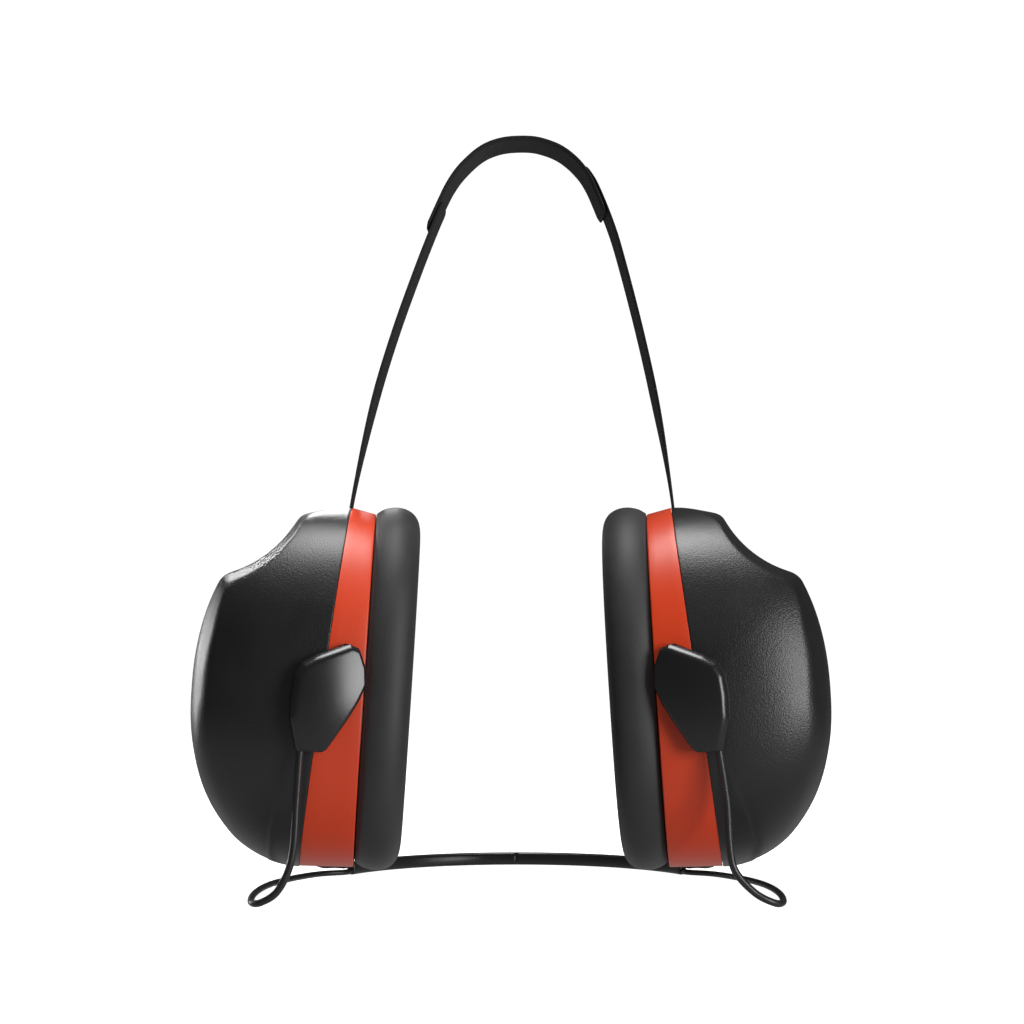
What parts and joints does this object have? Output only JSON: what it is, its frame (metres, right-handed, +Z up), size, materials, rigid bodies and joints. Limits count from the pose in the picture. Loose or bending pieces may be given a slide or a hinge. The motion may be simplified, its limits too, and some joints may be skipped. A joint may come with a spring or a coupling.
{
  "type": "hearing protection earmuffs",
  "caption": "Neckband hearing protection earmuffs: black cups with orange rings and soft ear cushions on a sprung wire band behind the neck, with a fabric head strap.",
  "frame": {"origin": "bottom centre of the bounding box, on the surface that the wires stand on", "axes": "+Z up along the cups, +Y towards the neckband behind the neck, -Y towards the wearer's front, +X towards the right-hand cup in the front view"},
  "size_m": [0.187, 0.1216, 0.2215],
  "materials": {
    "shell_plastic": "fine-grained moulded plastic",
    "ring_plastic": "satin orange moulded plastic",
    "satin_plastic": "satin moulded plastic",
    "cover_plastic": "semi-gloss moulded plastic",
    "cushion_skin": "smooth soft vinyl skin",
    "foam": "open-cell foam",
    "coated_wire": "gloss black coated spring wire",
    "sleeve_plastic": "semi-gloss moulded sleeve",
    "webbing": "fine diagonal woven tape",
    "pin_steel": "turned steel"
  },
  "bodies": {
    "neckband": {"neckband_sleeve": "sleeve_plastic", "left_strap": "webbing", "right_strap": "webbing", "crown_strap": "webbing"},
    "left_arm": {"left_front_pivot_cover": "cover_plastic", "left_rear_pivot_cover": "cover_plastic", "left_front_wire": "coated_wire", "left_rear_wire": "coated_wire"},
    "left_cup": {"left_cup_shell": "shell_plastic", "left_colour_ring": "ring_plastic", "left_seal_plate": "satin_plastic", "left_ear_cushion": "cushion_skin", "left_foam_liner": "foam", "left_front_pivot_pin": "pin_steel", "left_rear_pivot_pin": "pin_steel", "left_strap_anchor": "satin_plastic"},
    "right_arm": {"right_front_pivot_cover": "cover_plastic", "right_rear_pivot_cover": "cover_plastic", "right_front_wire": "coated_wire", "right_rear_wire": "coated_wire"},
    "right_cup": {"right_cup_shell": "shell_plastic", "right_colour_ring": "ring_plastic", "right_seal_plate": "satin_plastic", "right_ear_cushion": "cushion_skin", "right_foam_liner": "foam", "right_front_pivot_pin": "pin_steel", "right_rear_pivot_pin": "pin_steel", "right_strap_anchor": "satin_plastic"}
  },
  "joints": [
    {"name": "left_arm_spread", "type": "hinge", "parent": "neckband", "child": "left_arm", "pos_m": [-0.01208, 0.05813, 0.002], "axis": [0, 0, -1], "range_deg": [0, 30], "stiffness_Nm_per_rad": 1.4, "deforming": ["neckband_sleeve", "left_strap", "crown_strap"]},
    {"name": "right_arm_spread", "type": "hinge", "parent": "neckband", "child": "right_arm", "pos_m": [0.01192, 0.05813, 0.002], "axis": [0, 0, 1], "range_deg": [0, 30], "stiffness_Nm_per_rad": 1.4, "deforming": ["neckband_sleeve", "right_strap", "crown_strap"]},
    {"name": "left_cup_tilt", "type": "hinge", "parent": "left_arm", "child": "left_cup", "pos_m": [-0.05088, -0.01074, 0.06078], "axis": [-0.0558, 0.9984, 0], "range_deg": [-12, 12], "deforming": ["left_strap"]},
    {"name": "right_cup_tilt", "type": "hinge", "parent": "right_arm", "child": "right_cup", "pos_m": [0.05068, -0.01125, 0.06078], "axis": [0.0802, 0.9968, 0], "range_deg": [-12, 12], "deforming": ["right_strap"]}
  ]
}
